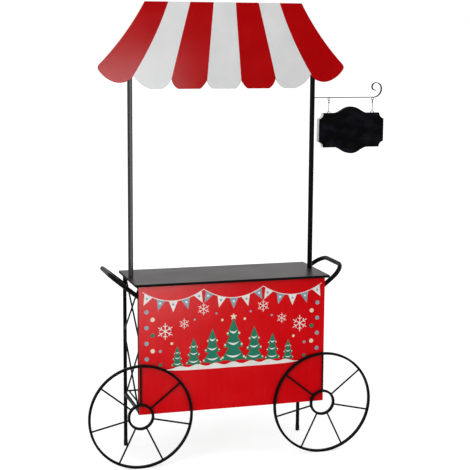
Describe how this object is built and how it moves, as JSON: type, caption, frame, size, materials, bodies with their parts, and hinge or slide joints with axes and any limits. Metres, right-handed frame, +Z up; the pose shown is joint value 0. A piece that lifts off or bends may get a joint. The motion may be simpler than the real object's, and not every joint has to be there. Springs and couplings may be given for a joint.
{
  "type": "christmas display cart",
  "caption": "Display cart: shelf on a tube frame, printed front panel, fixed spoked wheels, end handles, posts with a striped scalloped roof board and a sign swinging from a scroll bracket.",
  "frame": {"origin": "on the floor, under the middle of the shelf", "axes": "+Z up, +X to the right of a person who faces the printed front panel, front towards -Y"},
  "size_m": [1.2659, 0.322, 1.8],
  "materials": {
    "black_steel": "black satin powder coat",
    "black_board": "black satin lacquer on board",
    "printed_board": "glossy print on board",
    "striped_board": "red and white print on board",
    "chalk_board": "black chalkboard paint, pale cut edge",
    "dark_wire": "blackened drawn wire",
    "black_plastic": "moulded black plastic",
    "black_fastener": "blackened steel",
    "zinc_steel": "zinc plated"
  },
  "bodies": {
    "cart": {"bottom_rod_back": "black_steel", "bottom_rod_front": "black_steel", "bottom_rod_left": "black_steel", "bottom_rod_right": "black_steel", "brace_bent_back_left": "black_steel", "brace_bent_back_right": "black_steel", "brace_bent_forward_left": "black_steel", "brace_bent_forward_right": "black_steel", "bracket_eyelets": "dark_wire", "foot_caps": "black_plastic", "front_panel": "printed_board", "front_upright_left": "black_steel", "front_upright_right": "black_steel", "handle_left": "black_steel", "handle_right": "black_steel", "panel_screws": "zinc_steel", "post_bolts": "zinc_steel", "post_caps": "black_plastic", "post_left": "black_steel", "post_plugs": "zinc_steel", "post_right": "black_steel", "rear_leg_left": "black_steel", "rear_leg_right": "black_steel", "roof_board": "striped_board", "roof_screws": "zinc_steel", "shelf_screws": "zinc_steel", "shelf_top": "black_board", "side_bottom_rail_left": "black_steel", "side_bottom_rail_right": "black_steel", "side_top_rail_left": "black_steel", "side_top_rail_right": "black_steel", "sign_bracket": "black_steel", "wheel_bolts": "black_fastener", "wheel_hub_ring_left": "black_steel", "wheel_hub_ring_right": "black_steel", "wheel_nuts": "black_fastener", "wheel_rim_left": "black_steel", "wheel_rim_right": "black_steel", "wheel_spokes_left": "black_steel", "wheel_spokes_right": "black_steel", "wheel_washers": "black_fastener"},
    "hangers": {"hanger_left": "dark_wire", "hanger_right": "dark_wire"},
    "sign": {"sign_board": "chalk_board"}
  },
  "joints": [
    {"name": "hanger_swing", "type": "hinge", "parent": "cart", "child": "hangers", "pos_m": [0.542, 0.024, 1.4155], "axis": [1, 0, 0], "range_deg": [-60, 60]},
    {"name": "sign_rock", "type": "hinge", "parent": "hangers", "child": "sign", "pos_m": [0.542, 0.024, 1.357], "axis": [1, 0, 0], "range_deg": [-8, 8]}
  ]
}
